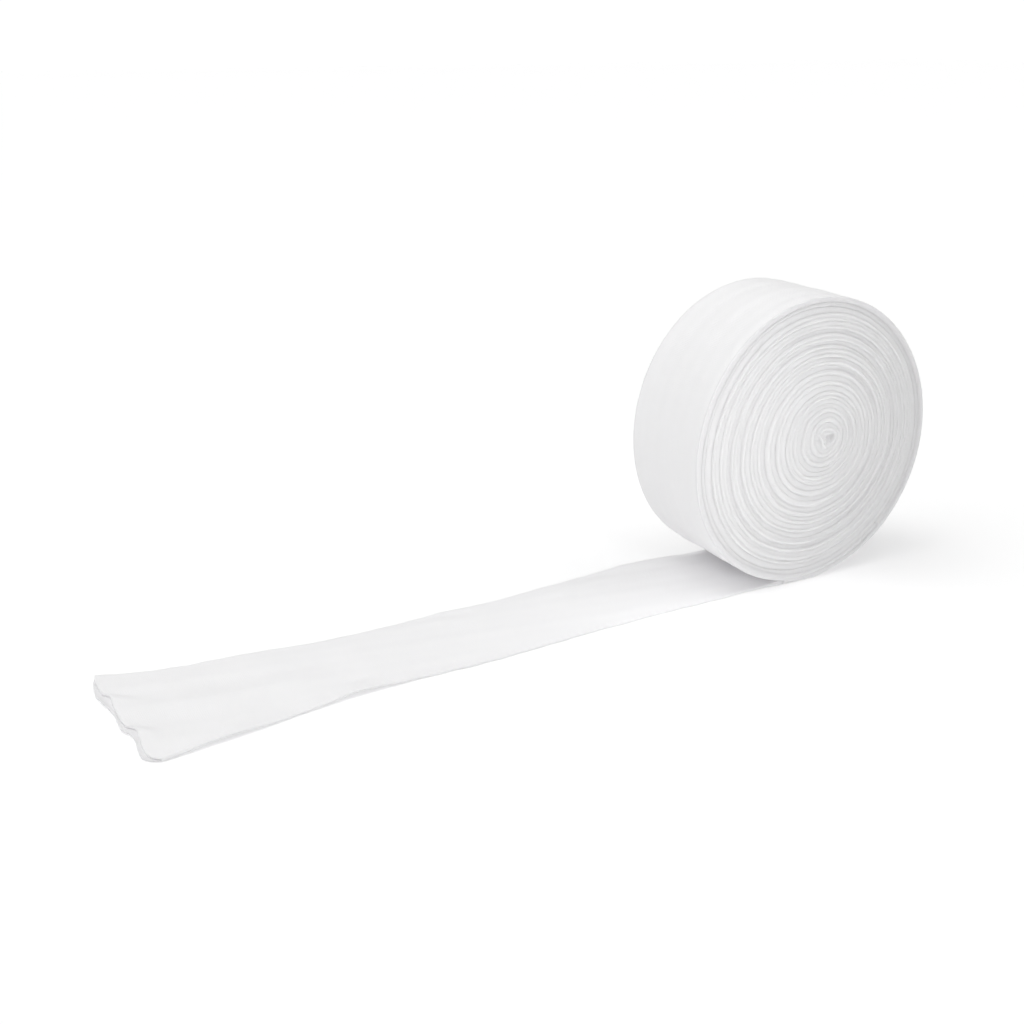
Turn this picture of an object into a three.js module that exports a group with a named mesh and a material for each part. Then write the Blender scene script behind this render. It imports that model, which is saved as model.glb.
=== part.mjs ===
// A roll of compression stockinette: a seamless knitted tube, laid flat, wound up on itself without a core,
// with its loose end run out flat along the surface that it stands on.
// Millimetres, +Z up. The origin is on the surface, under the roll's middle. The loose end runs towards -X,
// the roll's width is along Y, and -Y is the face that the winding is read from.
import * as THREE from "three";

// ---- sizes of the cloth -------------------------------------------------
const LAYER = 1.65; // one layer of the knit
const TURN = 2 * LAYER; // one turn of the roll is the flattened tube, two layers
const GAP = 0.3; // between the roll and the loose end, where the cloth runs on from one to the other

// ---- sizes of the roll --------------------------------------------------
const ROLL_RADIUS = 100;
const ROLL_WIDTH = 74;
const AXIS_HEIGHT = 100.4;
const EYE = { x: 12.5, z: 103.4 }; // the turns close in on this point, a little off the middle
const SAG = 0.9; // how far the roll's own weight flattens it at the foot
const SAG_REACH = 30; // and how far to each side that is felt
const SEAM_X = -15; // here the outermost turn, lying flat, becomes the loose end
const OUTLINE_STEPS = 72;

// How far the outline is from a true circle, as shares of the radius.
const OUT_OF_ROUND = [
  { lobes: 2, cosine: 0.0107, sine: 0.0088 },
  { lobes: 3, cosine: -0.0068, sine: -0.0058 },
];

// The main steps of the two wound faces. share is the way from the eye to the outline; front and back say how
// far the turns there stand out of (+) or lie back from (-) the roll's nominal width.
const FACE_RINGS = [
  { share: 1.0, front: -1.3, back: -1.3 },
  { share: 0.988, front: 0.0, back: 0.0 },
  { share: 0.96, front: -0.2, back: -0.2 },
  { share: 0.945, front: -2.0, back: -1.6 },
  { share: 0.915, front: -1.8, back: -1.4 },
  { share: 0.895, front: -0.2, back: -0.4 },
  { share: 0.8, front: 0.0, back: -0.2 },
  { share: 0.7, front: -1.5, back: -1.2 },
  { share: 0.62, front: -0.2, back: 0.0 },
  { share: 0.36, front: -1.4, back: -0.8 },
  { share: 0.24, front: 0.2, back: -0.4 },
  { share: 0.07, front: -0.2, back: -0.8 },
  { share: 0.025, front: -5.5, back: -5.0 },
];
const EYE_DEPTH = { front: -6.5, back: -6.0 };

// ---- sizes of the loose end ---------------------------------------------
// The two folded edges of the flattened tube as it lies: near is on the -Y side, far on the +Y side.
// nearLift is how far the near edge stands off the surface there.
const LOOSE_END = [
  { x: SEAM_X - GAP, near: -34.8, far: 37.0, nearLift: 0.0 },
  { x: -40, near: -32.4, far: 39.6, nearLift: 0.0 },
  { x: -70, near: -32.0, far: 42.8, nearLift: 0.0 },
  { x: -95, near: -31.9, far: 43.2, nearLift: 0.0 },
  { x: -120, near: -32.2, far: 40.0, nearLift: 0.0 },
  { x: -145, near: -33.4, far: 37.4, nearLift: 0.0 },
  { x: -170, near: -34.2, far: 35.2, nearLift: 0.0 },
  { x: -195, near: -36.2, far: 32.4, nearLift: 0.0 },
  { x: -220, near: -38.0, far: 31.4, nearLift: 0.0 },
  { x: -242, near: -39.8, far: 32.4, nearLift: 0.0 },
  { x: -265, near: -40.4, far: 30.4, nearLift: 0.0 },
  { x: -292, near: -40.6, far: 29.2, nearLift: 0.3 },
  { x: -312, near: -41.2, far: 29.2, nearLift: 1.2 },
  { x: -332, near: -41.8, far: 29.8, nearLift: 2.2 },
  { x: -350, near: -44.0, far: 32.2, nearLift: 0.9 },
  { x: -370, near: -46.6, far: 35.0, nearLift: 0.3 },
  { x: -390, near: -49.8, far: 36.8, nearLift: 0.9 },
  { x: -410, near: -53.0, far: 37.8, nearLift: 2.0 },
  { x: -428, near: -55.6, far: 40.2, nearLift: 1.8 },
  { x: -442, near: -57.6, far: 43.4, nearLift: 0.4 },
  { x: -458, near: -59.6, far: 48.8, nearLift: 0.0 },
];
const NEAR_LIFT_SHARE = 0.3; // the lifted edge comes down to the surface within this share of the width
const EDGE_HEIGHT = 1.7; // of the folded edge's own upright side
const EDGE_INSET = 0.8; // the underside leaves the surface this far up at the fold

// The cut end stands in three soft waves. from and to are shares of the way across, from the near edge to the
// far one; reach is how far the wave pushes the cut edge out (+X is back), and rise how far it lifts it.
const CUT_WAVES = [
  { from: 0.0, to: 0.35, reach: 1.5, rise: 2.4 },
  { from: 0.33, to: 0.72, reach: -3.0, rise: 3.0 },
  { from: 0.7, to: 1.0, reach: -5.0, rise: 2.2 },
];
const CUT_WAVE_LENGTH = 34; // how far back along the cloth the waves are felt
const CUT_X = -456; // the cut edge, before its waves

const ACROSS = [0, 0.03, 0.1, 0.18, 0.27, 0.34, 0.42, 0.52, 0.62, 0.71, 0.78, 0.87, 0.97, 1];
const ALONG_STEPS = 44;

// ---- small helpers ------------------------------------------------------
const bell = (t) => (t <= 0 || t >= 1 ? 0 : Math.sin(Math.PI * t) ** 2);

// Smooth interpolation of a table's column by its x, whichever way x runs.
function column(table, name, x) {
  const rows = [...table].sort((a, b) => a.x - b.x);
  if (x <= rows[0].x) return rows[0][name];
  const last = rows[rows.length - 1];
  if (x >= last.x) return last[name];
  const i = rows.findIndex((row) => row.x > x);
  const [p, q] = [rows[i - 1], rows[i]];
  const [o, r] = [rows[Math.max(0, i - 2)], rows[Math.min(rows.length - 1, i + 1)]];
  const t = (x - p.x) / (q.x - p.x);
  const slope = (a, b) => ((b[name] - a[name]) / (b.x - a.x)) * (q.x - p.x);
  const [m0, m1] = [slope(o, q), slope(p, r)];
  return (
    (2 * t ** 3 - 3 * t ** 2 + 1) * p[name] +
    (t ** 3 - 2 * t ** 2 + t) * m0 +
    (3 * t ** 2 - 2 * t ** 3) * q[name] +
    (t ** 3 - t ** 2) * m1
  );
}

// A closed surface from vertices and triangles that share them.
function closedGeometry(vertices, triangles) {
  const geometry = new THREE.BufferGeometry();
  geometry.setAttribute("position", new THREE.BufferAttribute(new Float32Array(vertices.flat()), 3));
  geometry.setIndex(triangles.flat());
  geometry.computeVertexNormals();
  return geometry;
}

// ---- the roll -----------------------------------------------------------
// The outer surface of the outermost turn. angle is 0 straight down and grows the way the cloth is wound in:
// along the surface to +X, up, over the top and back down. Each turn lies one TURN inside the one before.
function outlinePoint(angle) {
  const uneven = OUT_OF_ROUND.reduce(
    (sum, o) => sum + o.cosine * Math.cos(o.lobes * angle) + o.sine * Math.sin(o.lobes * angle),
    0,
  );
  const r = ROLL_RADIUS * (1 + uneven);
  const wound = 1 - ((TURN / ROLL_RADIUS) * angle) / (2 * Math.PI);
  const x = EYE.x + wound * (r * Math.sin(angle) - EYE.x);
  const z = EYE.z + wound * (AXIS_HEIGHT - r * Math.cos(angle) - EYE.z);
  return { x, z: z - SAG * Math.exp(-((x / SAG_REACH) ** 2)) };
}

// The roll's section: flat along the foot, round the outline, and down the step where the outermost turn
// slips out from under the one before it.
function rollOutline() {
  let footEnd = 0;
  while (outlinePoint(footEnd).z <= 0) footEnd += 0.0005;
  let turnEnd = 2 * Math.PI - 0.05;
  while (outlinePoint(turnEnd).x > SEAM_X) turnEnd -= 0.0005;
  const points = [
    { x: SEAM_X, z: 0 },
    { x: 0.3 * SEAM_X, z: 0 },
    { x: 0.7 * outlinePoint(footEnd).x, z: 0 },
    { x: outlinePoint(footEnd).x, z: 0 },
  ];
  for (let i = 1; i <= OUTLINE_STEPS; i++)
    points.push(outlinePoint(footEnd + ((turnEnd - footEnd) * i) / OUTLINE_STEPS));
  return points;
}

function makeRoll() {
  const outline = rollOutline();
  const n = outline.length;
  const vertices = [];
  const triangles = [];
  const ring = (row, y) => {
    const first = vertices.length;
    for (const p of outline)
      vertices.push([EYE.x + row.share * (p.x - EYE.x), y, EYE.z + row.share * (p.z - EYE.z)]);
    return first;
  };
  const band = (a, b) => {
    for (let i = 0; i < n; i++) {
      const j = (i + 1) % n;
      triangles.push([a + i, a + j, b + j], [a + i, b + j, b + i]);
    }
  };
  const cap = (a, y, sign) => {
    const middle = vertices.length;
    vertices.push([EYE.x, y, EYE.z]);
    for (let i = 0; i < n; i++) {
      const j = (i + 1) % n;
      triangles.push(sign > 0 ? [a + i, a + j, middle] : [a + j, a + i, middle]);
    }
  };
  const half = ROLL_WIDTH / 2;
  const fronts = FACE_RINGS.map((row) => ring(row, -half - row.front));
  const backs = FACE_RINGS.map((row) => ring(row, half + row.back));
  for (let k = 1; k < FACE_RINGS.length; k++) {
    band(fronts[k - 1], fronts[k]);
    band(backs[k], backs[k - 1]);
  }
  band(backs[0], fronts[0]);
  cap(fronts[fronts.length - 1], -half - EYE_DEPTH.front, 1);
  cap(backs[backs.length - 1], half + EYE_DEPTH.back, -1);
  return closedGeometry(vertices, triangles);
}

// ---- the loose end ------------------------------------------------------
// How much a point at that share of the way across belongs to each wave of the cut end.
function cutWaves(across) {
  let reach = 0;
  let rise = 0;
  for (const wave of CUT_WAVES) {
    const b = bell((across - wave.from) / (wave.to - wave.from));
    reach += wave.reach * b;
    rise += wave.rise * b;
  }
  return { reach, rise };
}

// The underside of the cloth, above the surface it lies on.
function underside(x, across, fromCut) {
  const lift = Math.max(0, column(LOOSE_END, "nearLift", x));
  const nearEdge = lift * Math.max(0, 1 - across / NEAR_LIFT_SHARE) ** 2;
  const waves = cutWaves(across).rise * Math.exp(-((fromCut / CUT_WAVE_LENGTH) ** 2));
  return nearEdge + (waves < 0.05 ? 0 : waves);
}

function makeLooseEnd() {
  const vertices = [];
  const triangles = [];
  const m = ACROSS.length;
  const start = SEAM_X - GAP;
  for (let i = 0; i <= ALONG_STEPS; i++) {
    // stations are closer together towards the cut end
    const t = i / ALONG_STEPS;
    const along = 1 - (1 - t) ** 1.25;
    for (const side of ["bottom", "top"])
      for (let j = 0; j < m; j++) {
        const across = ACROSS[j];
        const fromCut = (CUT_X - start) * (along - 1) * -1;
        const waves = cutWaves(across);
        const pull = waves.reach * Math.exp(-((fromCut / CUT_WAVE_LENGTH) ** 2));
        const x = start + (CUT_X - start) * along + pull * (i > 0 ? 1 : 0);
        const near = column(LOOSE_END, "near", x);
        const far = column(LOOSE_END, "far", x);
        const y = near + (far - near) * across;
        const base = underside(x, across, fromCut);
        const atFold = j === 0 || j === m - 1;
        const z =
          side === "bottom"
            ? base + (atFold ? EDGE_INSET : 0)
            : base + (atFold ? EDGE_INSET + EDGE_HEIGHT : TURN);
        vertices.push([x, y, z]);
      }
  }
  const at = (i, side, j) => (2 * i + side) * m + j;
  const quad = (a, b, c, d) => triangles.push([a, b, c], [a, c, d]);
  for (let i = 0; i < ALONG_STEPS; i++) {
    for (let j = 0; j < m - 1; j++) {
      quad(at(i, 1, j), at(i, 1, j + 1), at(i + 1, 1, j + 1), at(i + 1, 1, j));
      quad(at(i, 0, j), at(i + 1, 0, j), at(i + 1, 0, j + 1), at(i, 0, j + 1));
    }
    quad(at(i, 0, 0), at(i, 1, 0), at(i + 1, 1, 0), at(i + 1, 0, 0));
    quad(at(i, 0, m - 1), at(i + 1, 0, m - 1), at(i + 1, 1, m - 1), at(i, 1, m - 1));
  }
  for (let j = 0; j < m - 1; j++) {
    quad(at(0, 0, j), at(0, 0, j + 1), at(0, 1, j + 1), at(0, 1, j));
    const e = ALONG_STEPS;
    quad(at(e, 0, j), at(e, 1, j), at(e, 1, j + 1), at(e, 0, j + 1));
  }
  return closedGeometry(vertices, triangles);
}

// ---- the object ---------------------------------------------------------
const knit = (color, roughness) => new THREE.MeshStandardMaterial({ color, roughness, metalness: 0 });

const stockinette = new THREE.Group();

const roll = new THREE.Mesh(makeRoll(), knit(0xeceaec, 0.95));
roll.name = "roll";
stockinette.add(roll);

const looseEnd = new THREE.Mesh(makeLooseEnd(), knit(0xeeedef, 0.95));
looseEnd.name = "loose_end";
stockinette.add(looseEnd);

export default stockinette;
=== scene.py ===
import math

import bpy
import numpy as np
from mathutils import Matrix, Vector


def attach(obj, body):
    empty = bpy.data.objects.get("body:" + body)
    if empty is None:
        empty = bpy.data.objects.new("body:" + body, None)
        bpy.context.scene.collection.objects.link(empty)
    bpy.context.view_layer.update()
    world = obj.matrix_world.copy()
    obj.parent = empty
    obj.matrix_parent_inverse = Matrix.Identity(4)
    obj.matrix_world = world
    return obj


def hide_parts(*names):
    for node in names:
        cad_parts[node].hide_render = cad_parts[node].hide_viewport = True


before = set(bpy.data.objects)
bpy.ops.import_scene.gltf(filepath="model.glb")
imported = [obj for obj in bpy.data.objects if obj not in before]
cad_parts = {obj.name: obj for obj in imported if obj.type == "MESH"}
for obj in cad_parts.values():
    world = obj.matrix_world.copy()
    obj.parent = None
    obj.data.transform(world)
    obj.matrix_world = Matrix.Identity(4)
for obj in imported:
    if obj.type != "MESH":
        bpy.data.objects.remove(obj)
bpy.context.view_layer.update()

# ---------------------------------------------------------------------------
# Sizes, in metres, in the same frame as the solids: the roll's foot is at the
# origin, the loose end runs along -X, the roll's width is along Y.
# ---------------------------------------------------------------------------
MM = 0.001
RADIUS = 100 * MM
HALF_WIDTH = 37 * MM
AXIS_Z = 100.4 * MM
EYE_X, EYE_Z = 12.5 * MM, 103.4 * MM
LAYER = 1.65 * MM
TURN = 2 * LAYER
SAG, SAG_REACH = 0.9 * MM, 30 * MM
JOIN_X = -14 * MM  # under the roll, where the outermost turn becomes the loose end
OUT_OF_ROUND = [  # shares of the radius
    {"lobes": 2, "cosine": 0.0107, "sine": 0.0088},
    {"lobes": 3, "cosine": -0.0068, "sine": -0.0058},
]
WOUND = TURN / RADIUS  # how much nearer to the eye the outline is after one turn

# One row for each turn, from the outside in. inner is where the turn's inner
# side lies, as a share of the way from the eye to the outline, on the left of
# the face. front and back are how far the folded edges stand out (+) or lie
# back (-), in mm, and from_ is the part of a turn, counted from the foot, at
# which they take over from the row before. merge is 0 where a clear groove
# parts the turn from the next one inwards, and 1 where the two lie as one.
TURNS = [
    {"inner": 0.954, "front": 0.0, "back": 0.0, "from_": 0.00, "merge": 0.0},
    {"inner": 0.928, "front": -1.0, "back": -0.9, "from_": 0.12, "merge": 0.0},
    {"inner": 0.884, "front": -1.5, "back": -1.2, "from_": 0.20, "merge": 0.0},
    {"inner": 0.857, "front": 0.0, "back": -0.2, "from_": 0.16, "merge": 0.0},
    {"inner": 0.830, "front": 0.1, "back": 0.2, "from_": 0.30, "merge": 0.5},
    {"inner": 0.802, "front": 0.0, "back": -0.8, "from_": 0.42, "merge": 0.9},
    {"inner": 0.772, "front": -0.2, "back": -0.9, "from_": 0.30, "merge": 0.0},
    {"inner": 0.746, "front": -1.2, "back": -0.2, "from_": 0.36, "merge": 0.0},
    {"inner": 0.720, "front": 0.1, "back": 0.1, "from_": 0.20, "merge": 0.9},
    {"inner": 0.693, "front": -0.2, "back": -0.6, "from_": 0.26, "merge": 0.0},
    {"inner": 0.665, "front": -1.3, "back": -1.2, "from_": 0.12, "merge": 0.0},
    {"inner": 0.637, "front": 0.1, "back": 0.2, "from_": 0.47, "merge": 0.0},
    {"inner": 0.603, "front": -0.5, "back": -0.4, "from_": 0.50, "merge": 0.0},
    {"inner": 0.577, "front": 0.1, "back": -0.1, "from_": 0.22, "merge": 0.3},
    {"inner": 0.551, "front": -0.3, "back": -1.0, "from_": 0.35, "merge": 0.5},
    {"inner": 0.520, "front": 0.1, "back": -0.2, "from_": 0.30, "merge": 0.0},
    {"inner": 0.489, "front": -1.2, "back": 0.2, "from_": 0.20, "merge": 0.0},
    {"inner": 0.446, "front": 0.1, "back": -0.3, "from_": 0.40, "merge": 0.0},
    {"inner": 0.412, "front": -0.8, "back": -0.9, "from_": 0.25, "merge": 0.0},
    {"inner": 0.378, "front": 0.2, "back": 0.1, "from_": 0.30, "merge": 0.2},
    {"inner": 0.332, "front": -0.7, "back": -0.3, "from_": 0.38, "merge": 0.0},
    {"inner": 0.305, "front": -0.2, "back": -0.9, "from_": 0.20, "merge": 0.8},
    {"inner": 0.278, "front": 0.2, "back": 0.2, "from_": 0.30, "merge": 0.0},
    {"inner": 0.245, "front": -0.7, "back": -0.2, "from_": 0.42, "merge": 0.8},
    {"inner": 0.212, "front": -0.8, "back": -0.6, "from_": 0.28, "merge": 0.0},
    {"inner": 0.179, "front": 0.1, "back": 0.2, "from_": 0.30, "merge": 0.0},
    {"inner": 0.144, "front": -0.7, "back": -0.4, "from_": 0.20, "merge": 0.0},
    {"inner": 0.110, "front": 0.3, "back": 0.0, "from_": 0.30, "merge": 0.0},
    {"inner": 0.078, "front": -0.3, "back": -0.5, "from_": 0.30, "merge": 0.3},
    {"inner": 0.046, "front": 0.7, "back": -0.2, "from_": 0.30, "merge": 0.0},
]
READ_AT = 0.667  # the part of a turn at which the inner column was read
LAST_INNER = 0.004
ROLL_END = 31.45  # in turns, where the cloth's own start lies in the eye
# The hollow in the eye: its three corners, in mm from the eye, and its depth.
HOLLOW = [
    {"x": -7.4, "z": 4.3},
    {"x": 6.0, "z": 2.4},
    {"x": -0.6, "z": -6.2},
]
HOLLOW_DEEP, HOLLOW_PIT, HOLLOW_PIT_X, HOLLOW_PIT_Z = 1.3 * MM, 2.9 * MM, 2.4 * MM, -0.5 * MM

# The loose end's two folded edges as it lies, in mm, as in the solid.
LOOSE_END = [
    {"x": -14, "near": -34.9, "far": 37.0, "lift": 0.0},
    {"x": -40, "near": -33.6, "far": 39.8, "lift": 0.0},
    {"x": -70, "near": -34.6, "far": 43.4, "lift": 0.0},
    {"x": -95, "near": -34.6, "far": 44.2, "lift": 0.0},
    {"x": -120, "near": -34.8, "far": 41.3, "lift": 0.0},
    {"x": -145, "near": -35.9, "far": 39.0, "lift": 0.0},
    {"x": -170, "near": -36.6, "far": 37.0, "lift": 0.0},
    {"x": -195, "near": -38.4, "far": 34.3, "lift": 0.0},
    {"x": -220, "near": -40.0, "far": 33.4, "lift": 0.0},
    {"x": -242, "near": -41.4, "far": 34.6, "lift": 0.0},
    {"x": -265, "near": -41.5, "far": 32.6, "lift": 0.0},
    {"x": -292, "near": -41.2, "far": 31.4, "lift": 0.3},
    {"x": -312, "near": -42.0, "far": 31.3, "lift": 1.5},
    {"x": -332, "near": -42.8, "far": 31.9, "lift": 3.0},
    {"x": -350, "near": -45.2, "far": 34.3, "lift": 1.2},
    {"x": -370, "near": -48.1, "far": 37.0, "lift": 0.3},
    {"x": -390, "near": -51.7, "far": 38.7, "lift": 0.9},
    {"x": -410, "near": -54.8, "far": 39.6, "lift": 2.5},
    {"x": -428, "near": -57.3, "far": 41.6, "lift": 1.8},
    {"x": -442, "near": -59.1, "far": 44.2, "lift": 0.4},
    {"x": -466, "near": -61.5, "far": 51.2, "lift": 0.0},
]
CUT_X = -460 * MM
MOUTH_DEPTH, MOUTH_OPEN = 0.5 * MM, 0.15 * MM  # how far in the two layers meet, and how far apart they lie at most
# The cut end, one row for each place across the cloth, from the near edge (v 0)
# to the far one (v 1): where the cut lies, how high the upper layer's surface
# and the lower layer's underside are there, and how far the lower layer shows
# out from under the upper one, in mm. The cloth lies in three laps, each rising
# at its far side and coming down towards its near side.
CUT = [
    {"v": 0.000, "x": -449.0, "top": 1.5, "under": 0.0, "show": 0.5},
    {"v": 0.025, "x": -452.7, "top": 2.0, "under": 0.0, "show": 1.5},
    {"v": 0.070, "x": -455.1, "top": 2.8, "under": 0.0, "show": 2.6},
    {"v": 0.160, "x": -455.5, "top": 3.3, "under": 0.1, "show": 2.6},
    {"v": 0.240, "x": -455.2, "top": 3.9, "under": 0.6, "show": 2.2},
    {"v": 0.300, "x": -455.0, "top": 4.7, "under": 1.3, "show": 3.4},
    {"v": 0.335, "x": -456.1, "top": 4.2, "under": 1.0, "show": 3.8},
    {"v": 0.375, "x": -458.6, "top": 3.3, "under": 0.1, "show": 2.8},
    {"v": 0.450, "x": -460.0, "top": 3.2, "under": 0.0, "show": 1.8},
    {"v": 0.560, "x": -460.5, "top": 3.6, "under": 0.2, "show": 1.6},
    {"v": 0.640, "x": -460.5, "top": 4.3, "under": 0.9, "show": 3.5},
    {"v": 0.690, "x": -460.3, "top": 5.0, "under": 1.4, "show": 5.4},
    {"v": 0.725, "x": -461.2, "top": 4.4, "under": 1.0, "show": 5.0},
    {"v": 0.765, "x": -463.2, "top": 3.3, "under": 0.1, "show": 3.6},
    {"v": 0.840, "x": -464.0, "top": 3.2, "under": 0.0, "show": 2.4},
    {"v": 0.930, "x": -463.8, "top": 3.1, "under": 0.1, "show": 1.4},
    {"v": 0.980, "x": -463.2, "top": 3.0, "under": 0.6, "show": 0.0},
    {"v": 1.000, "x": -462.8, "top": 2.7, "under": 0.9, "show": 0.0},
]
WALL = 0.8 * MM  # one layer of the tube, where the cut shows it
CUT_LIFT, LIFT_FADE = 0.8 * MM, 30 * MM  # the whole end rises a little towards the cut
LOOSE_WIDEST = 0.3  # how high up its fold the loose end is widest
CUT_FADE = 12 * MM  # how far the laps reach into the cloth
CUT_DRIFT = -4.0  # v for each metre: the laps lean towards the near edge
EDGE_THICK, MIDDLE_THICK = 1.5 * MM, 2.5 * MM
# Soft creases: a line from (x, y) to (x, y), in mm, its width,
# and its depth (+ is a trough).
CREASES = [
    {"x0": -466, "y0": 21, "x1": -424, "y1": 0, "wide": 8.0, "deep": 0.25},
    {"x0": -450, "y0": -2, "x1": -345, "y1": -14, "wide": 10.0, "deep": -0.9},
    {"x0": -345, "y0": -14, "x1": -235, "y1": 0, "wide": 9.0, "deep": -0.25},
    {"x0": -462, "y0": -15, "x1": -410, "y1": -22, "wide": 7.0, "deep": 0.2},
    {"x0": -352, "y0": -40, "x1": -322, "y1": -22, "wide": 7.0, "deep": 0.7},
    {"x0": -250, "y0": 31, "x1": -222, "y1": 16, "wide": 6.0, "deep": 0.5},
    {"x0": -190, "y0": -30, "x1": -110, "y1": -8, "wide": 10.0, "deep": 0.35},
    {"x0": -120, "y0": 36, "x1": -60, "y1": 20, "wide": 9.0, "deep": 0.35},
]


# ---------------------------------------------------------------------------
# Small helpers
# ---------------------------------------------------------------------------
def smooth(x):
    x = np.clip(x, 0.0, 1.0)
    return x * x * (3 - 2 * x)


def wander(t, seed, wave, amount):
    """A smooth uneven curve: sines of unrelated lengths near wave, the same on each run."""
    rng = np.random.default_rng(seed)
    out = np.zeros_like(np.asarray(t, float))
    for _ in range(7):
        f = (0.55 + 1.1 * rng.random()) / wave
        out = out + np.sin(2 * np.pi * (f * t + rng.random()))
    return amount * out / 2.6


def column(rows, name, x, by="x", unit=MM):
    """Smooth interpolation of a table's column by its x, or by another column."""
    rows = sorted(rows, key=lambda r: r[by])
    xs = np.array([r[by] for r in rows], float) * unit
    ys = np.array([r[name] for r in rows], float) * MM
    x = np.clip(np.asarray(x, float), xs[0], xs[-1])
    i = np.clip(np.searchsorted(xs, x, side="right") - 1, 0, len(xs) - 2)
    lo, hi = np.maximum(i - 1, 0), np.minimum(i + 2, len(xs) - 1)
    d = xs[i + 1] - xs[i]
    t = (x - xs[i]) / d
    m0 = (ys[i + 1] - ys[lo]) / (xs[i + 1] - xs[lo]) * d
    m1 = (ys[hi] - ys[i]) / (xs[hi] - xs[i]) * d
    return (
        (2 * t**3 - 3 * t**2 + 1) * ys[i]
        + (t**3 - 2 * t**2 + t) * m0
        + (3 * t**2 - 2 * t**3) * ys[i + 1]
        + (t**3 - t**2) * m1
    )


def mesh_piece(name, rings, along, across, caps, material, painted_shade=None):
    """A closed tube of rings, each a closed loop of as many points. caps says that its two ends are closed by joining
    each point of the loop to the one across the cloth from it. along and across are each point's place on the cloth,
    and painted_shade is how much painted shade its colour takes: 1 on the cut edge and the mouth behind it, less on
    the folds of the two outermost turns."""
    n, m, _ = rings.shape
    quads, caps_from = [], (n - 1) * m
    i, j = np.meshgrid(np.arange(n - 1), np.arange(m), indexing="ij")
    a, b = i * m + j, i * m + (j + 1) % m
    quads.append(np.stack([a, b, b + m, a + m], -1).reshape(-1, 4))
    for end, first in ((0, 0), (1, (n - 1) * m)):
        if not caps[end]:
            continue
        pairs = caps[end]
        for (p, q), (r, s) in zip(pairs[:-1], pairs[1:]):
            face = [first + p, first + q, first + s, first + r]
            quads.append(np.array([face if end else face[::-1]]))
    quads = np.concatenate(quads)
    mesh = bpy.data.meshes.new(name)
    loops, rounded = [], []
    for k, quad in enumerate(quads):
        q = list(dict.fromkeys(int(v) for v in quad))
        if len(q) >= 3:
            loops.append(q)
            rounded.append(k < caps_from)
    mesh.from_pydata(rings.reshape(-1, 3).tolist(), [], loops)
    mesh.polygons.foreach_set("use_smooth", np.array(rounded, bool))
    mesh.validate()
    # the strip attribute holds the place along and across the cloth and, as its third value, the painted shade
    strip = mesh.attributes.new("strip", "FLOAT_VECTOR", "POINT")
    co = np.stack([along, across, np.zeros_like(along) if painted_shade is None else painted_shade], -1).reshape(-1)
    strip.data.foreach_set("vector", co.astype(np.float32))
    mesh.materials.append(material)
    piece = bpy.data.objects.new(name, mesh)
    bpy.context.scene.collection.objects.link(piece)
    return piece


def facing_out(piece):
    """Turns the faces round if they point inwards."""
    me = piece.data
    me.calc_loop_triangles()
    co = np.zeros(len(me.vertices) * 3)
    me.vertices.foreach_get("co", co)
    co = co.reshape(-1, 3)
    tri = np.zeros(len(me.loop_triangles) * 3, np.int32)
    me.loop_triangles.foreach_get("vertices", tri)
    a, b, c = (co[tri.reshape(-1, 3)[:, k]] for k in range(3))
    if (a * np.cross(b, c)).sum() < 0:
        me.flip_normals()


# ---------------------------------------------------------------------------
# The wound form
# ---------------------------------------------------------------------------
_knot_t = np.array([0.0, READ_AT] + [k + 1 + READ_AT for k in range(len(TURNS))] + [len(TURNS) + 1 + READ_AT])
_knot_q = np.array(
    [1.0, 1 - WOUND * READ_AT] + [r["inner"] * (1 - WOUND * READ_AT) for r in TURNS] + [LAST_INNER]
)


def bound(t):
    """How far out the winding's surface is after t turns, as a share of the way from the eye to the outline."""
    q = np.interp(t, _knot_t, _knot_q)
    loose = smooth((t - 1.05) / 0.4) * smooth((30.2 - t) / 2)
    return q + loose * (wander(t, 11, 0.43, 0.0020) + wander(t, 12, 0.17, 0.0010))


_knot_m = np.array([0.0, 0.0] + [r["merge"] for r in TURNS] + [0.0])


def merge(t):
    """How much the winding's groove at t turns is closed up."""
    m = np.interp(t, _knot_t, _knot_m) + 0.35 * np.clip(wander(t, 45, 0.8, 1.0), -1, 1)
    return 0.9 * smooth(m) * smooth((t - 1.02) / 0.1)


def stand(t, side):
    """How far the folded edge stands out of the roll's width after t turns."""
    value = np.full_like(t, TURNS[0][side])
    for k, row in enumerate(TURNS):
        if k:
            value = value + (row[side] - TURNS[k - 1][side]) * smooth((t - k - row["from_"]) / 0.11 + 0.5)
    seed = 21 if side == "front" else 31
    inside = smooth((t - 1.0) / 0.3)
    value = value + wander(t, seed, 0.50, 0.14 + 0.20 * inside) + wander(t, seed + 1, 0.11, 0.04 + 0.08 * inside)
    value = value - 2.1 * smooth(1 - t / 0.11)  # the outermost edge is drawn in a little at the foot
    return value * MM


def edge_ripple(along, seed, amount):
    """The small unevenness of a folded knit edge, in metres along the cloth."""
    return wander(along, seed, 17 * MM, 0.5 * amount) + wander(along, seed + 1, 7.5 * MM, 0.5 * amount)


def place(q, angle):
    """The point at share q of the way from the eye to the outline, angle from straight down towards +X."""
    uneven = 1.0
    for o in OUT_OF_ROUND:
        uneven = uneven + o["cosine"] * np.cos(o["lobes"] * angle) + o["sine"] * np.sin(o["lobes"] * angle)
    r = RADIUS * uneven
    x = r * np.sin(angle) - EYE_X
    z = AXIS_Z - r * np.cos(angle) - EYE_Z
    # the innermost turns close in on a three-cornered hole
    corner = smooth(1 - q / 0.15)
    three = 1 + corner * (0.24 * np.cos(3 * angle + 0.5) + 0.10 * np.cos(2 * angle - 0.8))
    x, z = EYE_X + q * x * three, EYE_Z + q * z * three
    z = z - SAG * q * np.exp(-((x / SAG_REACH) ** 2)) * smooth(0.5 + 1.2 * np.cos(angle))
    return x, z


ROUND = 2.3  # how square a fold's rounding is, 2 being a half ellipse
SOFT = 0.5  # how far a turn's fold runs smoothly into the next turn's, without a sharp groove


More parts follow.
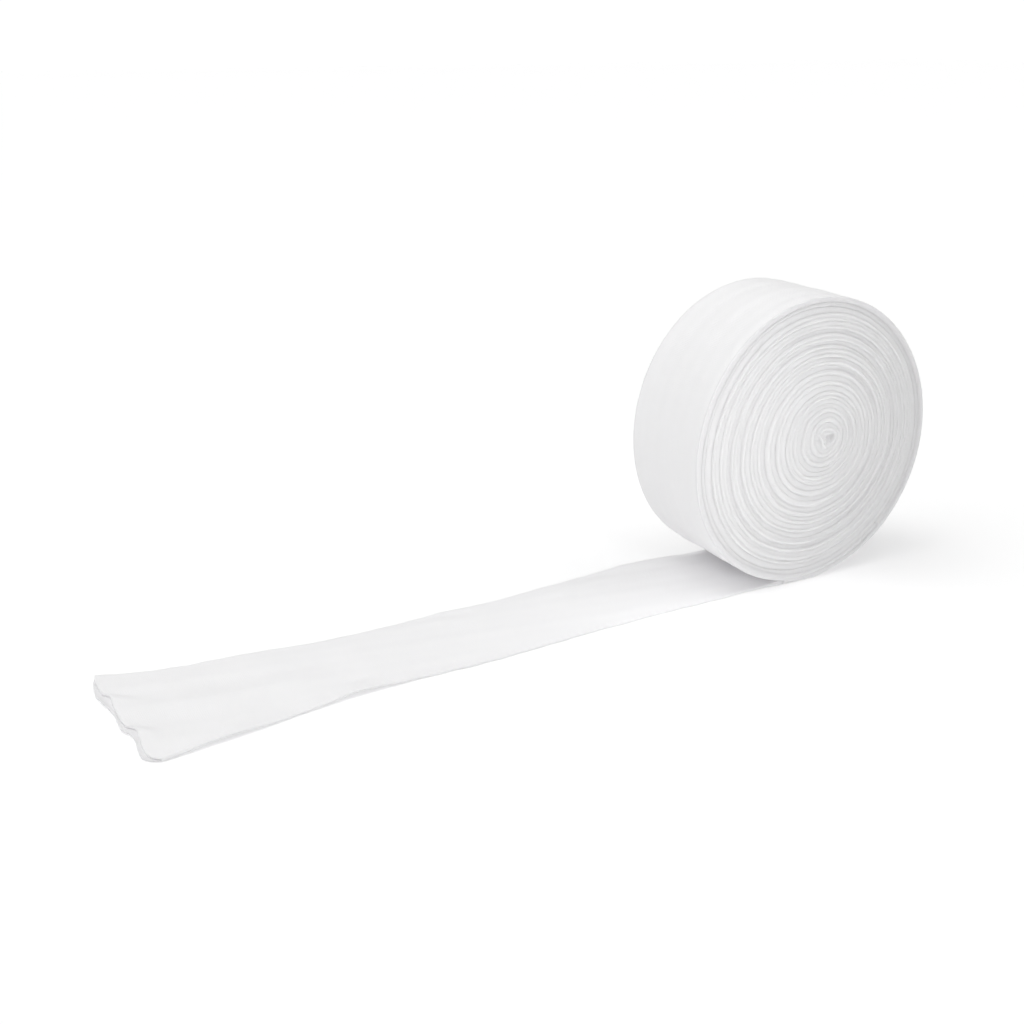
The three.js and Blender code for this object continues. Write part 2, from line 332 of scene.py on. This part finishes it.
def swelling(rho):
    """How far a fold stands out, 0 where its two flats end and 1 at its middle."""
    return (1 - SOFT) * (1 - abs(1 - 2 * rho) ** ROUND) + SOFT * math.sin(math.pi * rho) ** 2


def leaning(rho):
    """The same on the outermost turn, whose fold is highest near its outside and slopes down towards the eye."""
    rise = np.sqrt(np.clip(1 - (1 - np.minimum(rho / 0.06, 1)) ** 2, 0, 1))
    return rise * (1 - np.clip((rho - 0.06) / 0.94, 0, 1) ** 1.1)


def fold_section(steps, flat_out, flat_in, even=False):
    """The loop of a flattened tube's section: for each point its side (-1 at the front fold, +1 at the back one, and
    between them along the flats), how far it is round the fold, and rho, 0 at the outside and 1 at the inside."""
    side, bulge, rho = [], [], []

    def places(count):
        """Places across a flat. They lie closer together towards its folds, so that the shading turns only there."""
        u = np.linspace(-1, 1, count + 1)
        return u if even or count == 1 else np.sin(math.pi / 2 * u) * 0.8 + u * 0.2

    for u in places(flat_out):
        side.append(u), bulge.append(0.0), rho.append(0.0)
    for p in np.linspace(0, np.pi, steps + 1)[1:-1]:
        side.append(1.0), bulge.append(swelling((1 - math.cos(p)) / 2)), rho.append((1 - math.cos(p)) / 2)
    for u in -places(flat_in):
        side.append(u), bulge.append(0.0), rho.append(1.0)
    for p in np.linspace(0, np.pi, steps + 1)[1:-1]:
        side.append(-1.0), bulge.append(swelling((1 + math.cos(p)) / 2)), rho.append((1 + math.cos(p)) / 2)
    return np.array(side), np.array(bulge), np.array(rho)


def mirrored(steps, flat_out, flat_in):
    """Pairs of loop indices that lie over each other, to close an end, where both flats have as many points."""
    fold, half = steps - 1, flat_out + 1
    m = half + fold + flat_in + 1 + fold
    # from the middle of the front fold to the middle of the back fold
    order_out = [m - 1 - k for k in range(fold // 2)][::-1] + list(range(half)) + [half + k for k in range(fold // 2)]
    order_in = (
        [m - fold + k for k in range(fold // 2)][::-1]
        + [half + fold + flat_in - k for k in range(flat_in + 1)]
        + [half + fold - 1 - k for k in range(fold // 2)]
    )
    if fold % 2:  # the one point at each fold's middle
        order_out = [m - fold + fold // 2] + order_out + [half + fold // 2]
        order_in = [m - fold + fold // 2] + order_in + [half + fold // 2]
    return list(zip(order_out, order_in))


OUTER_FOLD = 0.45 * MM  # the same on the outermost turn
FOLD = 0.55 * MM  # how far a folded edge of the tube stands out beyond the two layers' meeting
AIR = -0.06 * MM / RADIUS  # one turn presses a little into the next


def flat_thickness(x):
    """The cloth under the roll: pressed at the foot, full once it is clear of the roll."""
    foot = (EYE_Z + bound(np.array([1.0]))[0] * (AXIS_Z - RADIUS * 1.0039 - EYE_Z)) - SAG
    return foot + (TURN - foot) * smooth(-x / (12 * MM))


def strip_rings(t, steps, flat_out, flat_in, relief=None):
    side, bulge, rho = fold_section(steps, flat_out, flat_in)
    folded = (np.abs(side) == 1)[None, :]
    angle = 2 * np.pi * t
    outer, inner = bound(t), bound(t + 1)
    # the cloth's own length, along the middle of its thickness
    mx, mz = place((outer + inner) / 2, angle)
    step = np.hypot(np.diff(mx), np.diff(mz))
    along = np.concatenate([[0], np.cumsum(step)])
    front, back = HALF_WIDTH + stand(t, "front"), HALF_WIDTH + stand(t, "back")
    q = outer[:, None] - AIR / 2 + (inner - outer + AIR)[:, None] * rho[None, :]
    if relief is not None:
        q = q + relief(t, side) * (1 - rho)[None, :]
    x, z = place(q, angle[:, None])
    thick = (outer - inner) * RADIUS
    outermost = smooth((1.12 - t) / 0.12) * smooth((t - 0.02) / 0.08)
    full = FOLD + (OUTER_FOLD - FOLD) * outermost
    fold = (np.minimum(full, 0.6 * thick) * (1 + 0.15 * wander(t, 41, 0.2, 1.0)))[:, None]
    deep = fold + (np.minimum(FOLD, 0.6 * thick)[:, None] - fold) * rho[None, :]
    # here and there the two layers part a little along the fold, so that it shows as two lines
    parted = (0.2 * smooth(0.5 + 1.1 * wander(t, 43, 0.37, 1.0)) * smooth((t - 1) / 0.2))[:, None]
    swell = bulge[None, :] * (1 - parted * np.exp(-(((rho[None, :] - 0.5) / 0.14) ** 2)))
    leans = outermost * smooth((t - 0.22) / 0.18) * smooth((0.98 - t) / 0.18)
    swell = swell + (leaning(rho)[None, :] - swell) * leans[:, None]
    shut = np.where(rho[None, :] < 0.5, merge(t)[:, None], merge(t + 1)[:, None])
    swell = swell + (1 - swell) * shut * ((rho > 0) & (rho < 1))[None, :]
    # towards the turn outside it and the one inside it, a fold's height goes over into theirs
    outwards, inwards = smooth(1 - rho / 0.45)[None, :], smooth((rho - 0.55) / 0.45)[None, :]
    width = {}
    for name, own in (("front", front), ("back", back)):
        before = np.where(t > 1, HALF_WIDTH + stand(np.maximum(t - 1, 0), name), own)
        after = HALF_WIDTH + stand(t + 1, name)
        width[name] = (
            own[:, None] + ((before - own) / 2)[:, None] * outwards + ((after - own) / 2)[:, None] * inwards
        )
    reach = np.where(side[None, :] < 0, width["front"], width["back"]) - deep * (1 - swell)
    mid, half = ((back - front) / 2)[:, None], ((back + front) / 2)[:, None]
    ends_front, ends_back = reach[:, [0]], reach[:, [flat_out]]  # where the outer flat ends
    low_back, low_front = reach[:, [flat_out + steps]], reach[:, [flat_out + steps + flat_in]]
    share = (side[None, :] + 1) / 2
    flat = np.where(
        rho[None, :] < 0.5,
        -ends_front + share * (ends_front + ends_back),
        -low_front + share * (low_front + low_back),
    )
    y = np.where(folded, np.sign(side)[None, :] * reach, flat)
    return x, y, z, along, side, bulge, rho, fold, half


def painted_fold_shade(t, side, rho):
    """Painted shade on the folds of the two outermost turns: how much their colour is darkened, 0.55 at most."""
    turns = 0.55 * smooth((t - 0.02) / 0.08) * smooth((2.02 - t) / 0.1)
    edge = np.where((rho > 0) & (rho < 1), 1.0, smooth((np.abs(side) - 0.965) / 0.035))
    return turns[:, None] * edge[None, :]


def across_of(side, bulge, rho, half, fold):
    """Each point's place round the tube, so that the knit runs on over the folds."""
    arc = math.pi / 2 * (TURN / 2 + FOLD)
    flat = half - fold
    turn = np.arccos(np.clip(1 - 2 * rho, -1, 1)) / math.pi
    out = np.where(rho == 0, side * flat, 0.0)
    out = np.where((side == 1) & (rho > 0) & (rho < 1), flat + turn * arc, out)
    out = np.where(rho == 1, flat + arc + (1 - side) * flat, out)
    out = np.where((side == -1) & (rho > 0) & (rho < 1), -flat - turn * arc, out)
    return out


# ---------------------------------------------------------------------------
# The knit
# ---------------------------------------------------------------------------
WALE, COURSE = 1.5 * MM, 1.15 * MM


def knit_material(name, colour, stitch=0.35):
    mat = bpy.data.materials.new(name)
    mat.use_nodes = True
    nt = mat.node_tree
    nt.nodes.clear()
    new = nt.nodes.new
    link = nt.links.new

    def math_node(op, a, b=None, c=None):
        n = new("ShaderNodeMath")
        n.operation = op
        for k, v in enumerate((a, b, c)):
            if v is None:
                continue
            if isinstance(v, (int, float)):
                n.inputs[k].default_value = v
            else:
                link(v, n.inputs[k])
        return n.outputs[0]

    out = new("ShaderNodeOutputMaterial")
    bsdf = new("ShaderNodeBsdfPrincipled")
    link(bsdf.outputs[0], out.inputs[0])
    bsdf.inputs["Roughness"].default_value = 0.92
    bsdf.inputs["Specular IOR Level"].default_value = 0.22
    bsdf.inputs["Sheen Weight"].default_value = 0.18
    bsdf.inputs["Sheen Roughness"].default_value = 0.55
    bsdf.inputs["Subsurface Weight"].default_value = 0.5
    bsdf.inputs["Subsurface Radius"].default_value = (1.0, 1.0, 1.0)
    bsdf.inputs["Subsurface Scale"].default_value = 2.4 * MM

    strip = new("ShaderNodeAttribute")
    strip.attribute_name = "strip"
    split = new("ShaderNodeSeparateXYZ")
    link(strip.outputs["Vector"], split.inputs[0])
    along, across = split.outputs[0], split.outputs[1]

    # a slow wander of the stitches' lines, so that they aren't ruled
    drift = new("ShaderNodeTexNoise")
    drift.inputs["Scale"].default_value = 45.0
    drift.inputs["Detail"].default_value = 2.0
    link(strip.outputs["Vector"], drift.inputs["Vector"])
    lean = math_node("MULTIPLY", math_node("SUBTRACT", drift.outputs["Fac"], 0.5), 1.1 * MM)

    wale = math_node("DIVIDE", math_node("ADD", across, lean), WALE)
    place_in = math_node("FRACT", wale)
    off = math_node("ABSOLUTE", math_node("SUBTRACT", place_in, 0.5))  # 0 on the rib, 0.5 in its valley
    rib = math_node("SQRT", math_node("SUBTRACT", 1.0, math_node("MULTIPLY", math_node("MULTIPLY", off, off), 2.2)))
    vee = math_node("ADD", math_node("DIVIDE", along, COURSE), math_node("MULTIPLY", off, 1.1))
    leg = math_node("ADD", math_node("MULTIPLY", math_node("SINE", math_node("MULTIPLY", vee, 2 * math.pi)), 0.5), 0.5)
    stitches = math_node("MULTIPLY", rib, math_node("ADD", math_node("MULTIPLY", leg, 0.45), 0.55))

    fuzz = new("ShaderNodeTexNoise")
    fuzz.inputs["Scale"].default_value = 1100.0
    fuzz.inputs["Detail"].default_value = 3.0
    link(strip.outputs["Vector"], fuzz.inputs["Vector"])
    cloudy = new("ShaderNodeTexNoise")
    cloudy.inputs["Scale"].default_value = 60.0
    cloudy.inputs["Detail"].default_value = 3.0
    link(strip.outputs["Vector"], cloudy.inputs["Vector"])

    height = math_node(
        "ADD",
        stitches,
        math_node("ADD", math_node("MULTIPLY", fuzz.outputs["Fac"], 1.0), math_node("MULTIPLY", cloudy.outputs["Fac"], 0.5)),
    )
    bump = new("ShaderNodeBump")
    bump.inputs["Strength"].default_value = stitch
    bump.inputs["Distance"].default_value = 0.35 * MM
    link(height, bump.inputs["Height"])
    link(bump.outputs[0], bsdf.inputs["Normal"])

    # painted shade: the valleys between the stitches are a little darker; the whole also varies a little in tone at
    # random
    ramp = new("ShaderNodeMapRange")
    ramp.inputs["From Min"].default_value = 0.25
    ramp.inputs["From Max"].default_value = 0.95
    ramp.inputs["To Min"].default_value = 0.0
    ramp.inputs["To Max"].default_value = 1.0
    link(stitches, ramp.inputs["Value"])
    shade = math_node(
        "MULTIPLY_ADD", ramp.outputs[0], 0.8, math_node("MULTIPLY", cloudy.outputs["Fac"], 0.4)
    )
    tint = new("ShaderNodeMix")
    tint.data_type = "RGBA"
    painted_valley_shade = tuple(c * 0.965 for c in colour)
    tint.inputs["A"].default_value = (*painted_valley_shade, 1)
    tint.inputs["B"].default_value = (*colour, 1)
    link(shade, tint.inputs["Factor"])
    # painted shade: the colour is darker on the cut edge and on the inside of the tube behind it, and less so on
    # the folds of the two outermost turns
    cut = new("ShaderNodeMix")
    cut.data_type = "RGBA"
    cut.inputs["B"].default_value = (*(c * 0.83 for c in colour), 1)
    link(split.outputs[2], cut.inputs["Factor"])
    link(tint.outputs["Result"], cut.inputs["A"])
    link(cut.outputs["Result"], bsdf.inputs["Base Color"])
    return mat


CLOTH = (0.952, 0.947, 0.958)
cloth = knit_material("knit", CLOTH)
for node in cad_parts.values():
    node.data.materials.clear()
    node.data.materials.append(cloth)

# ---------------------------------------------------------------------------
# The roll: the outermost turn, whose side shows, and the turns inside it
# ---------------------------------------------------------------------------
SPLIT = 1.12


def outer_relief(t, side):
    """The turns below show faintly through the outermost one, which also dips and rises a little by itself."""
    u = side[None, :] * HALF_WIDTH
    s = t[:, None] * 2 * np.pi * RADIUS
    low = 0.16 * np.sin(2 * np.pi * (u / (31 * MM) + 0.6 * np.sin(s / (140 * MM)))) + 0.12 * np.sin(
        2 * np.pi * (u / (13 * MM) + 0.35 * np.sin(s / (90 * MM) + 1.0))
    )
    slow = 0.20 * np.sin(s / (47 * MM) + 2.0 * u / (30 * MM)) * np.cos(s / (81 * MM) - u / (21 * MM) + 0.5)
    edge = -0.08 * smooth((np.abs(side)[None, :] - 0.9) / 0.1)
    fade = smooth((t[:, None] - 0.03) / 0.08)
    return fade * (low + slow + edge) * MM / RADIUS


def make_outer():
    # the flat stretch under the roll, then the turn itself
    steps, fo, fi = 12, 60, 60
    flat = np.linspace(JOIN_X, 0, 10)[:-1]
    t = np.linspace(0, SPLIT, 460)
    x, y, z, along, side, bulge, rho, fold, half = strip_rings(t, steps, fo, fi, outer_relief)
    # it rests on the surface: what would go through it lies on it, and the cloth above is pressed by as much
    top = z[:, rho == 1].mean(1, keepdims=True)
    z0 = np.maximum(z[:, [fo // 2]], 0)
    press = z0 + (top - z0) * rho[None, :]
    near_foot = (smooth((0.045 - t) / 0.03))[:, None]
    z = z * (1 - near_foot) + press * near_foot
    z = np.maximum(z, 0)
    rows = len(flat)
    y0 = y[0]
    near, far = column(LOOSE_END, "near", flat), column(LOOSE_END, "far", flat)
    blend = smooth((flat - JOIN_X) / -JOIN_X)
    fx, fy, fz = [], [], []
    for k in range(rows):
        f0 = fold[0, 0]
        n_, f_ = near[k], far[k]
        h_, m_ = (f_ - n_) / 2, (f_ + n_) / 2
        yy = m_ + side * (h_ - f0) + np.sign(side) * (np.abs(side) == 1) * bulge * f0
        fy.append(yy * (1 - blend[k]) + y0 * blend[k])
        fx.append(np.full_like(yy, flat[k]))
        fz.append(rho * flat_thickness(np.array([flat[k]]))[0])
    x = np.concatenate([np.array(fx), x])
    y = np.concatenate([np.array(fy), y])
    z = np.concatenate([np.array(fz), z])
    along = np.concatenate([flat, along])
    rings = np.stack([x, y, z], -1)
    across = across_of(side, bulge, rho, HALF_WIDTH, FOLD)
    pairs = mirrored(steps, fo, fi)
    piece = mesh_piece(
        "roll_outer_turn",
        rings,
        np.repeat(along[:, None], len(side), 1),
        np.repeat(across[None, :], len(along), 0),
        (pairs, pairs),
        cloth,
        # painted shade on the folds of the outermost turn
        np.concatenate([np.zeros((rows, len(side))), painted_fold_shade(t, side, rho)]),
    )
    facing_out(piece)
    return piece


def hollow(x, z):
    """How far the cloth lies back in the eye: a shallow three-cornered hollow with a deeper pit towards its right."""
    x, z = x - EYE_X, z - EYE_Z
    away = np.full_like(x, -1.0)
    for k, a in enumerate(HOLLOW):
        b = HOLLOW[(k + 1) % len(HOLLOW)]
        dx, dz = b["x"] - a["x"], b["z"] - a["z"]
        off = (dx * (z - a["z"] * MM) - dz * (x - a["x"] * MM)) / math.hypot(dx, dz)
        away = np.maximum(away, off)  # the corners are listed clockwise, so off is + outside
    pit = np.hypot((x - HOLLOW_PIT_X) / 1.15, z - HOLLOW_PIT_Z)
    return HOLLOW_DEEP * smooth(0.5 - away / (2.2 * MM)) + HOLLOW_PIT * smooth(1.55 - pit / (2.6 * MM))


def make_inner():
    steps = 8
    # steps of about 1.9 mm along the cloth, whatever the turn's radius
    t = [SPLIT]
    while t[-1] < ROLL_END:
        q = float(np.interp(t[-1], _knot_t, _knot_q))
        t.append(t[-1] + (1.9 if q > 0.15 else 1.1) * MM / (2 * np.pi * max(q, 0.03) * RADIUS))
    t = np.array(t)
    t = SPLIT + (t - SPLIT) * (ROLL_END - SPLIT) / (t[-1] - SPLIT)
    x, y, z, along, side, bulge, rho, fold, half = strip_rings(t, steps, 1, 1)
    z = np.maximum(z, 0.4 * MM)
    # the folded edge itself is a little uneven
    ripple = np.where(side < 0, -1, 1)[None, :] * bulge[None, :] * np.stack(
        [edge_ripple(along, 51, 0.16 * MM)], 1
    )
    y = y + ripple
    y = y + np.where(side < 0, 1, 0)[None, :] * hollow(x, z)
    rings = np.stack([x, y, z], -1)
    across = across_of(side, bulge, rho, HALF_WIDTH, FOLD)
    pairs = mirrored(steps, 1, 1)
    piece = mesh_piece(
        "roll_turns",
        rings,
        np.repeat(along[:, None], len(side), 1) + 0.75,
        np.repeat(across[None, :], len(along), 0),
        (pairs, pairs),
        cloth,
        # painted shade on the folds of the turn just inside the outermost one
        painted_fold_shade(t, side, rho),
    )
    facing_out(piece)
    return piece, along[-1]


# ---------------------------------------------------------------------------
# The loose end
# ---------------------------------------------------------------------------
def cut_value(v, name, from_cut):
    """A column of the cut's table at v, less the loose end's plain value, fading away from the cut."""
    v = v - CUT_DRIFT * from_cut
    plain = {"x": CUT_X, "top": plain_thick(np.clip(v, 0, 1)) + CUT_LIFT, "under": 0.0}[name]
    lift = CUT_LIFT * np.exp(-((from_cut / LIFT_FADE) ** 2)) if name == "top" else 0.0
    return lift + (column(CUT, name, v, "v", 1.0) - plain) * np.exp(-((from_cut / CUT_FADE) ** 2))


def plain_thick(v):
    return EDGE_THICK + (MIDDLE_THICK - EDGE_THICK) * smooth(np.minimum(v, 1 - v) / 0.20)


def crease_depth(x, y):
    out = np.zeros_like(x)
    for c in CREASES:
        ax, ay, bx, by = (c[k] * MM for k in ("x0", "y0", "x1", "y1"))
        d = np.array([bx - ax, by - ay])
        length = np.hypot(*d)
        d = d / length
        s = ((x - ax) * d[0] + (y - ay) * d[1]) / length
        off = -(x - ax) * d[1] + (y - ay) * d[0]
        ends = smooth(s / 0.25 + 0.35) * smooth((1 - s) / 0.25 + 0.35)
        w = c["wide"] * MM
        off = off + 0.25 * w * np.sin(s * 5.0 + ax * 100)
        out = out + c["deep"] * MM * ends * (np.exp(-((off / w) ** 2)) - 0.45 * np.exp(-(((np.abs(off) - 1.6 * w) / w) ** 2)))
    return out


def make_loose_end():
    steps, fo = 10, 84
    side, bulge, rho = fold_section(steps, fo, fo, even=True)
    n = 260
    a = np.linspace(0, 1, n)
    a = 1 - (1 - a) ** 1.12
    base_x = JOIN_X + (CUT_X - JOIN_X) * a
    v = (side + 1) / 2
    rings, alongs = [], []

    def ring(x_line, from_cut, inner=0.0, push=0.0, close=0.0):
        """One section. inner is how far it lies inside the cloth's own outer surface, from the cut's edge inwards, and
        close brings the two layers together at the bottom of the mouth."""
        pull = cut_value(v, "x", from_cut)
        x = x_line + pull + push - column(CUT, "show", v, "v", 1.0) * (1 - rho) * np.exp(-((from_cut / (7 * MM)) ** 2))
        near, far = column(LOOSE_END, "near", x), column(LOOSE_END, "far", x)
        near = near + wander(x, 61, 28 * MM, 0.20 * MM) + inner
        far = far + wander(x, 62, 28 * MM, 0.20 * MM) - inner
        half, mid = (far - near) / 2, (far + near) / 2
        joined = smooth((x - JOIN_X + 25 * MM) / (25 * MM))  # where it goes on into the outermost turn
        thin = 0.8 * MM if inner == 0 else 0.4 * MM
        fold = thin + (FOLD - thin) * joined
        low = np.where(rho > LOOSE_WIDEST, (rho - LOOSE_WIDEST) / (1 - LOOSE_WIDEST), 1 - rho / LOOSE_WIDEST)
        low = 1 - np.abs(low) ** ROUND
        y = mid + side * (half - fold) + np.sign(side) * (np.abs(side) == 1) * (low + (bulge - low) * joined) * fold
        vv = np.clip((y - near) / (far - near), 0, 1)
        lift = np.maximum(column(LOOSE_END, "lift", x), 0) * np.maximum(0, 1 - vv / 0.3) ** 2
        thick = plain_thick(vv) * (1 - joined) + flat_thickness(x) * joined
        top = lift + thick + cut_value(vv, "top", from_cut)
        under = lift + np.maximum(cut_value(vv, "under", 1.5 * from_cut), 0)
        # clear of the roll, the upper layer lies a little unevenly
        free = smooth((JOIN_X - x) / (25 * MM))
        uneven = (
            wander(x + 0.35 * y, 63, 55 * MM, 0.22 * MM)
            + wander(x - 0.8 * y, 64, 33 * MM, 0.12 * MM)
            + wander(y + 0.15 * x, 65, 21 * MM, 0.10 * MM)
        )
        inside = smooth(vv / 0.06) * smooth((1 - vv) / 0.06)
        top = top + free * inside * (uneven - crease_depth(x, y))
        top = np.maximum(top, under + EDGE_THICK * 0.9)
        wall = inner / WALL * np.maximum(WALL, (top - under - MOUTH_OPEN) / 2)
        wall = np.minimum(wall, 0.45 * (top - under))
        wall = wall + (0.49 * (top - under) - wall) * close
        z = under + wall + (top - under - 2 * wall) * rho
        return np.stack([x, y, z], -1)

    for k in range(n):
        rings.append(ring(base_x[k], base_x[k] - CUT_X))
        alongs.append(base_x[k])
    # the cut edge, each layer a little rounded, then the inside of the mouth
    rings.append(ring(CUT_X, 0.0, 0.25 * WALL, -0.30 * MM))
    rings.append(ring(CUT_X, 0.0, 0.75 * WALL, -0.30 * MM))
    alongs += [CUT_X - 0.4 * MM, CUT_X - 0.8 * MM]
    for depth in np.linspace(0, MOUTH_DEPTH, 6):
        rings.append(ring(CUT_X + depth, depth, WALL, 0.0, float(smooth(depth / MOUTH_DEPTH))))
        alongs.append(CUT_X - MM - depth)
    rings = np.array(rings)
    rings[:, :, 2] = np.maximum(rings[:, :, 2], 0.0)
    across = across_of(side, bulge, rho, HALF_WIDTH, FOLD)
    pairs = mirrored(steps, fo, fo)
    # painted shade: half on the last ring before the cut, full on the cut edge and in the mouth, falling to a tenth on
    # the upper layer
    painted_shade = np.zeros(len(alongs))
    painted_shade[n - 1] = 0.5
    painted_shade[n:] = 1.0
    piece = mesh_piece(
        "loose_end_sheet",
        rings,
        np.repeat(np.array(alongs)[:, None], len(side), 1),
        np.repeat(across[None, :], len(alongs), 0),
        (pairs, pairs),
        cloth,
        painted_shade[:, None] * (1 - 0.9 * smooth((rho - 0.35) / 0.3))[None, :],
    )
    facing_out(piece)
    return piece


outer = make_outer()
turns, wound_length = make_inner()
tail = make_loose_end()

for piece in (outer, turns):
    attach(piece, "root")
    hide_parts("roll")
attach(tail, "root")
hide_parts("loose_end")

print("wound length", round(float(wound_length), 3), "m inside the outermost turn")

# ---------------------------------------------------------------------------
# The floor, the light and the camera
# ---------------------------------------------------------------------------
floor_mesh = bpy.data.meshes.new("floor")
S = 12.0
floor_mesh.from_pydata([(-S, -S, 0), (S, -S, 0), (S, S, 0), (-S, S, 0)], [], [(0, 1, 2, 3)])
floor = bpy.data.objects.new("floor", floor_mesh)
floor.location.z = -0.0002
bpy.context.scene.collection.objects.link(floor)
fmat = bpy.data.materials.new("floor")
fmat.use_nodes = True
fb = fmat.node_tree.nodes["Principled BSDF"]
fb.inputs["Base Color"].default_value = (0.90, 0.90, 0.90, 1)
fb.inputs["Roughness"].default_value = 0.9
fb.inputs["Specular IOR Level"].default_value = 0.1
fb.inputs["Emission Color"].default_value = (1, 1, 1, 1)
fb.inputs["Emission Strength"].default_value = 0.185
floor_mesh.materials.append(fmat)

world = bpy.data.worlds.new("studio")
bpy.context.scene.world = world
world.use_nodes = True
wn = world.node_tree
wn.nodes.clear()
out = wn.nodes.new("ShaderNodeOutputWorld")
mix = wn.nodes.new("ShaderNodeMixShader")
lit = wn.nodes.new("ShaderNodeBackground")
seen = wn.nodes.new("ShaderNodeBackground")
path = wn.nodes.new("ShaderNodeLightPath")
lit.inputs["Color"].default_value = (1.0, 1.0, 1.0, 1)
lit.inputs["Strength"].default_value = 0.08
seen.inputs["Color"].default_value = (1, 1, 1, 1)
seen.inputs["Strength"].default_value = 1.05
wn.links.new(path.outputs["Is Camera Ray"], mix.inputs[0])
wn.links.new(lit.outputs[0], mix.inputs[1])
wn.links.new(seen.outputs[0], mix.inputs[2])
wn.links.new(mix.outputs[0], out.inputs[0])


def aim(light, back):
    light.rotation_euler = back.to_track_quat("Z", "Y").to_euler()
    bpy.context.scene.collection.objects.link(light)


def soft_light(name, azimuth, elevation, spread, strength):
    """An even light from one side of a white studio, spread over a wide angle."""
    a, e = math.radians(azimuth), math.radians(elevation)
    data = bpy.data.lights.new(name, "SUN")
    data.energy = strength * math.pi
    data.angle = math.radians(spread)
    aim(
        bpy.data.objects.new(name, data),
        Vector((math.sin(a) * math.cos(e), -math.cos(a) * math.cos(e), math.sin(e))),
    )


soft_light("key", -90, 65, 80, 0.30)
soft_light("left", -116, 53, 50, 0.20)
soft_light("low", -78, 23, 50, 0.085)
soft_light("top", 0, 85, 60, 0.23)
soft_light("fill", 60, 45, 50, 0.23)

# a weak soft lamp in front, towards the left of the roll's face
front = bpy.data.lights.new("front", "SPOT")
front.energy = 26.8
front.spot_size = math.radians(12)
front.spot_blend = 1.0
front.shadow_soft_size = 0.12
lamp = bpy.data.objects.new("front", front)
lamp.location = (0.0, -1.25, 0.4)
aim(lamp, lamp.location - Vector((-0.086, -0.037, 0.128)))

# The camera stands where the photograph was taken from, by a fit to the
# object's outline in a frame of 1024 by 1024.
PIXELS, FOCAL_PX = 1024, 1250.21
AZ, EL = math.radians(-27.9407), math.radians(21.1564)
cam_data = bpy.data.cameras.new("camera")
cam_data.sensor_width = 36
cam_data.lens = FOCAL_PX / PIXELS * 36
cam_data.clip_start, cam_data.clip_end = 0.01, 100
cam = bpy.data.objects.new("camera", cam_data)
back = Vector((math.sin(AZ) * math.cos(EL), -math.cos(AZ) * math.cos(EL), math.sin(EL)))
right = Vector((0, 0, 1)).cross(back).normalized()
up = back.cross(right)
cam.matrix_world = Matrix(
    (
        (right.x, up.x, back.x, -0.55203),
        (right.y, up.y, back.y, -0.64679),
        (right.z, up.z, back.z, 0.36083),
        (0, 0, 0, 1),
    )
)
bpy.context.scene.collection.objects.link(cam)
bpy.context.scene.camera = cam

scene = bpy.context.scene
scene.cycles.diffuse_bounces = 8
scene.view_settings.view_transform = "Standard"
scene.view_settings.look = "None"
scene.view_settings.exposure = 0.0
